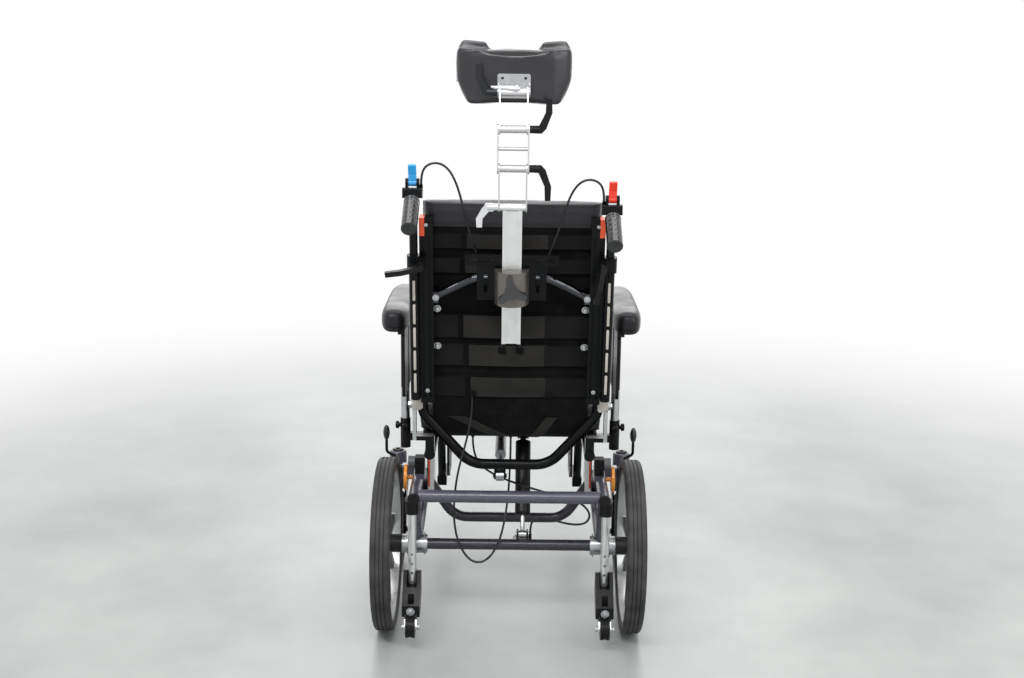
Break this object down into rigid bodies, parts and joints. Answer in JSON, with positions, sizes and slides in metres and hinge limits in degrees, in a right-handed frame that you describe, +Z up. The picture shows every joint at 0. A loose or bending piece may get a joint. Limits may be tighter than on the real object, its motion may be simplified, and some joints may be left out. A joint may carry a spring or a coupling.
{
  "type": "tilt in space wheelchair",
  "caption": "Manual wheelchair with a tilting seat, reclining back, hinged headrest, sliding push handles, swing-away legrests, casters and anti-tip wheels.",
  "frame": {"origin": "on the floor, under the middle of the chair's outline seen from above", "axes": "+Z up, +Y the way the sitter faces, +X to the sitter's right"},
  "size_m": [0.634, 0.9855, 1.3518],
  "materials": {
    "frame": "smooth satin powder coat",
    "bright_steel": "zinc plated",
    "chrome": "polished chrome",
    "black_metal": "satin black coat",
    "tyre": "moulded tyre and spoked plastic rim",
    "caster": "moulded tyre and plastic web",
    "black_plastic": "moulded",
    "amber": "moulded reflector",
    "blue": "moulded",
    "red": "moulded",
    "upholstery": "stitched coated fabric",
    "webbing": "woven strap with hook and loop",
    "cable": "smooth outer casing",
    "silver": "anodised"
  },
  "bodies": {
    "base": {"side_frame_left": "frame", "side_frame_right": "frame", "rear_cross_tube": "frame", "front_cross_tube": "frame", "rear_axle": "frame", "reflectors": "amber"},
    "seat": {"seat_frame": "frame", "seat_cushion": "upholstery", "tilt_cable_lower": "cable"},
    "backrest": {"back_tube": "frame", "back_cane_left": "silver", "back_cane_right": "silver", "back_straps": "webbing", "back_cushion": "upholstery", "headrest_crossbar": "chrome", "headrest_clamp": "black_metal", "tilt_cable_upper": "cable", "recline_cable_upper": "cable", "recline_cable_lower": "cable"},
    "headrest_bar": {"headrest_bar": "black_metal"},
    "headrest_link_lower": {"headrest_link_lower": "black_metal"},
    "headrest_link_middle": {"headrest_link_middle": "black_metal"},
    "headrest_link_upper": {"headrest_link_upper": "black_metal"},
    "headrest": {"headrest_plate": "black_metal", "headrest_pad": "upholstery"},
    "star_knob": {"star_knob": "black_plastic"},
    "tilt_spring_rod": {"tilt_spring_rod": "silver"},
    "tilt_spring_cylinder": {"tilt_spring_cylinder": "silver"},
    "recline_spring_cylinder": {"recline_spring_cylinder": "silver"},
    "recline_spring_rod": {"recline_spring_rod": "silver"},
    "tilt_trigger": {"tilt_trigger": "blue"},
    "recline_trigger": {"recline_trigger": "red"},
    "headrest_lever_1": {"headrest_lever_1": "chrome"},
    "headrest_lever_2": {"headrest_lever_2": "black_plastic"},
    "headrest_lever_3": {"headrest_lever_3": "black_plastic"},
    "headrest_lever_4": {"headrest_lever_4": "black_plastic"},
    "rear_wheel_left": {"rear_wheel_left": "tyre"},
    "caster_fork_left": {"caster_fork_left": "black_metal"},
    "caster_wheel_left": {"caster_wheel_left": "caster"},
    "parking_brake_left": {"parking_brake_left": "black_plastic"},
    "anti_tip_arm_left": {"anti_tip_arm_left": "black_plastic"},
    "anti_tip_wheel_left": {"anti_tip_wheel_left": "black_plastic"},
    "armrest_left": {"armrest_frame_left": "bright_steel", "armrest_pad_left": "black_plastic"},
    "legrest_left": {"legrest_hanger_left": "frame"},
    "footplate_left": {"footplate_left": "frame"},
    "push_handle_left": {"push_handle_left": "black_metal"},
    "handle_lever_left": {"handle_lever_left": "black_plastic"},
    "rear_wheel_right": {"rear_wheel_right": "tyre"},
    "caster_fork_right": {"caster_fork_right": "black_metal"},
    "caster_wheel_right": {"caster_wheel_right": "caster"},
    "parking_brake_right": {"parking_brake_right": "black_plastic"},
    "anti_tip_arm_right": {"anti_tip_arm_right": "black_plastic"},
    "anti_tip_wheel_right": {"anti_tip_wheel_right": "black_plastic"},
    "armrest_right": {"armrest_frame_right": "bright_steel", "armrest_pad_right": "black_plastic"},
    "legrest_right": {"legrest_hanger_right": "frame"},
    "footplate_right": {"footplate_right": "frame"},
    "push_handle_right": {"push_handle_right": "black_metal"},
    "handle_lever_right": {"handle_lever_right": "black_plastic"}
  },
  "joints": [
    {"name": "seat_tilt", "type": "hinge", "parent": "base", "child": "seat", "pos_m": [0, -0.00723, 0.385], "axis": [1, 0, 0], "range_deg": [0, 20], "deforming": ["tilt_cable_lower"]},
    {"name": "back_recline", "type": "hinge", "parent": "seat", "child": "backrest", "pos_m": [0, -0.26723, 0.54], "axis": [1, 0, 0], "range_deg": [0, 25], "deforming": ["recline_cable_lower"]},
    {"name": "tilt_spring_swing", "type": "hinge", "parent": "base", "child": "tilt_spring_rod", "pos_m": [0.032, -0.24723, 0.222], "axis": [1, 0, 0], "range_deg": [-5, 0.5]},
    {"name": "tilt_spring_stroke", "type": "slide", "parent": "tilt_spring_rod", "child": "tilt_spring_cylinder", "axis": [0, 0.6039, 0.7971], "range_m": [-0.034, 0.001]},
    {"name": "recline_spring_swing", "type": "hinge", "parent": "seat", "child": "recline_spring_cylinder", "pos_m": [-0.022, 0.08777, 0.375], "axis": [1, 0, 0], "range_deg": [-6, 0.5]},
    {"name": "recline_spring_stroke", "type": "slide", "parent": "recline_spring_cylinder", "child": "recline_spring_rod", "axis": [0, -0.9994, -0.0359], "range_m": [-0.08, 0.001]},
    {"name": "rear_wheel_spin_left", "type": "hinge", "parent": "base", "child": "rear_wheel_left", "pos_m": [-0.283, -0.25723, 0.2], "axis": [1, 0, 0], "continuous": true},
    {"name": "caster_swivel_left", "type": "hinge", "parent": "base", "child": "caster_fork_left", "pos_m": [-0.29, 0.14277, 0.25], "axis": [0, 0, 1], "continuous": true},
    {"name": "caster_spin_left", "type": "hinge", "parent": "caster_fork_left", "child": "caster_wheel_left", "pos_m": [-0.29, 0.09777, 0.1], "axis": [1, 0, 0], "continuous": true},
    {"name": "parking_brake_swing_left", "type": "hinge", "parent": "base", "child": "parking_brake_left", "pos_m": [-0.27, -0.06723, 0.318], "axis": [1, 0, 0], "range_deg": [-30, 0]},
    {"name": "anti_tip_swing_left", "type": "hinge", "parent": "base", "child": "anti_tip_arm_left", "pos_m": [-0.219, -0.33223, 0.25], "axis": [0, 0, 1], "range_deg": [0, 90]},
    {"name": "anti_tip_spin_left", "type": "hinge", "parent": "anti_tip_arm_left", "child": "anti_tip_wheel_left", "pos_m": [-0.219, -0.39723, 0.055], "axis": [1, 0, 0], "continuous": true},
    {"name": "armrest_height_left", "type": "slide", "parent": "seat", "child": "armrest_left", "axis": [0, 0, 1], "range_m": [0, 0.045]},
    {"name": "legrest_swing_left", "type": "hinge", "parent": "seat", "child": "legrest_left", "pos_m": [-0.188, 0.25677, 0.4], "axis": [0, 0, 1], "range_deg": [0, 60]},
    {"name": "footplate_fold_left", "type": "hinge", "parent": "legrest_left", "child": "footplate_left", "pos_m": [-0.188, 0.44277, 0.14], "axis": [0, 1, 0], "range_deg": [0, 90]},
    {"name": "handle_height_left", "type": "slide", "parent": "backrest", "child": "push_handle_left", "axis": [0, -0.1392, 0.9903], "range_m": [-0.08, 0.04], "deforming": ["tilt_cable_upper"]},
    {"name": "tilt_trigger_squeeze", "type": "hinge", "parent": "push_handle_left", "child": "tilt_trigger", "pos_m": [-0.211, -0.37991, 1.05432], "axis": [1, 0, 0], "range_deg": [0, 20], "stiffness_Nm_per_rad": 1.2},
    {"name": "handle_lever_turn_left", "type": "hinge", "parent": "backrest", "child": "handle_lever_left", "pos_m": [-0.195, -0.36928, 0.87809], "axis": [0, -0.9903, -0.1392], "range_deg": [-10, 45]},
    {"name": "rear_wheel_spin_right", "type": "hinge", "parent": "base", "child": "rear_wheel_right", "pos_m": [0.283, -0.25723, 0.2], "axis": [1, 0, 0], "continuous": true},
    {"name": "caster_swivel_right", "type": "hinge", "parent": "base", "child": "caster_fork_right", "pos_m": [0.29, 0.14277, 0.25], "axis": [0, 0, 1], "continuous": true},
    {"name": "caster_spin_right", "type": "hinge", "parent": "caster_fork_right", "child": "caster_wheel_right", "pos_m": [0.29, 0.09777, 0.1], "axis": [1, 0, 0], "continuous": true},
    {"name": "parking_brake_swing_right", "type": "hinge", "parent": "base", "child": "parking_brake_right", "pos_m": [0.27, -0.06723, 0.318], "axis": [1, 0, 0], "range_deg": [-30, 0]},
    {"name": "anti_tip_swing_right", "type": "hinge", "parent": "base", "child": "anti_tip_arm_right", "pos_m": [0.219, -0.33223, 0.25], "axis": [0, 0, -1], "range_deg": [0, 90]},
    {"name": "anti_tip_spin_right", "type": "hinge", "parent": "anti_tip_arm_right", "child": "anti_tip_wheel_right", "pos_m": [0.219, -0.39723, 0.055], "axis": [1, 0, 0], "continuous": true},
    {"name": "armrest_height_right", "type": "slide", "parent": "seat", "child": "armrest_right", "axis": [0, 0, 1], "range_m": [0, 0.045]},
    {"name": "legrest_swing_right", "type": "hinge", "parent": "seat", "child": "legrest_right", "pos_m": [0.188, 0.25677, 0.4], "axis": [0, 0, -1], "range_deg": [0, 60]},
    {"name": "footplate_fold_right", "type": "hinge", "parent": "legrest_right", "child": "footplate_right", "pos_m": [0.188, 0.44277, 0.14], "axis": [0, -1, 0], "range_deg": [0, 90]},
    {"name": "handle_height_right", "type": "slide", "parent": "backrest", "child": "push_handle_right", "axis": [0, -0.1392, 0.9903], "range_m": [-0.06, 0.06], "deforming": ["recline_cable_upper"]},
    {"name": "recline_trigger_squeeze", "type": "hinge", "parent": "push_handle_right", "child": "recline_trigger", "pos_m": [0.211, -0.37546, 1.02263], "axis": [1, 0, 0], "range_deg": [0, 20], "stiffness_Nm_per_rad": 1.2},
    {"name": "handle_lever_turn_right", "type": "hinge", "parent": "backrest", "child": "handle_lever_right", "pos_m": [0.195, -0.36928, 0.87809], "axis": [0, -0.9903, -0.1392], "range_deg": [-45, 45]},
    {"name": "star_knob_turn", "type": "hinge", "parent": "backrest", "child": "star_knob", "pos_m": [0, -0.38918, 0.83288], "axis": [0, -0.9903, -0.1392], "range_deg": [-180, 180]},
    {"name": "headrest_height", "type": "slide", "parent": "backrest", "child": "headrest_bar", "axis": [0, -0.1392, 0.9903], "range_m": [-0.04, 0.06]},
    {"name": "headrest_joint_1", "type": "hinge", "parent": "headrest_bar", "child": "headrest_link_lower", "pos_m": [0, -0.39973, 1.00711], "axis": [1, 0, 0], "range_deg": [-12, 25]},
    {"name": "headrest_joint_2", "type": "hinge", "parent": "headrest_link_lower", "child": "headrest_link_middle", "pos_m": [0, -0.41287, 1.09007], "axis": [1, 0, 0], "range_deg": [-12, 25]},
    {"name": "headrest_joint_3", "type": "hinge", "parent": "headrest_link_middle", "child": "headrest_link_upper", "pos_m": [0, -0.41429, 1.17106], "axis": [1, 0, 0], "range_deg": [-12, 25]},
    {"name": "headrest_joint_4", "type": "hinge", "parent": "headrest_link_upper", "child": "headrest", "pos_m": [0, -0.3959, 1.2448], "axis": [1, 0, 0], "range_deg": [-20, 25]},
    {"name": "headrest_lever_turn_1", "type": "hinge", "parent": "headrest_link_lower", "child": "headrest_lever_1", "pos_m": [0, -0.39973, 1.00711], "axis": [1, 0, 0], "range_deg": [-30, 30]},
    {"name": "headrest_lever_turn_2", "type": "hinge", "parent": "headrest_link_middle", "child": "headrest_lever_2", "pos_m": [0, -0.41287, 1.09007], "axis": [1, 0, 0], "range_deg": [-30, 30]},
    {"name": "headrest_lever_turn_3", "type": "hinge", "parent": "headrest_link_middle", "child": "headrest_lever_3", "pos_m": [0, -0.41429, 1.17106], "axis": [1, 0, 0], "range_deg": [-30, 30]},
    {"name": "headrest_lever_turn_4", "type": "hinge", "parent": "headrest", "child": "headrest_lever_4", "pos_m": [0, -0.3959, 1.2448], "axis": [1, 0, 0], "range_deg": [0, 45]}
  ],
  "couplings": [
    {"joint": "tilt_spring_swing", "follows": "seat_tilt", "ratio": -0.176},
    {"joint": "tilt_spring_stroke", "follows": "seat_tilt", "m_per_rad": -0.086579},
    {"joint": "recline_spring_swing", "follows": "back_recline", "ratio": -0.18401},
    {"joint": "recline_spring_stroke", "follows": "back_recline", "m_per_rad": -0.16798}
  ]
}
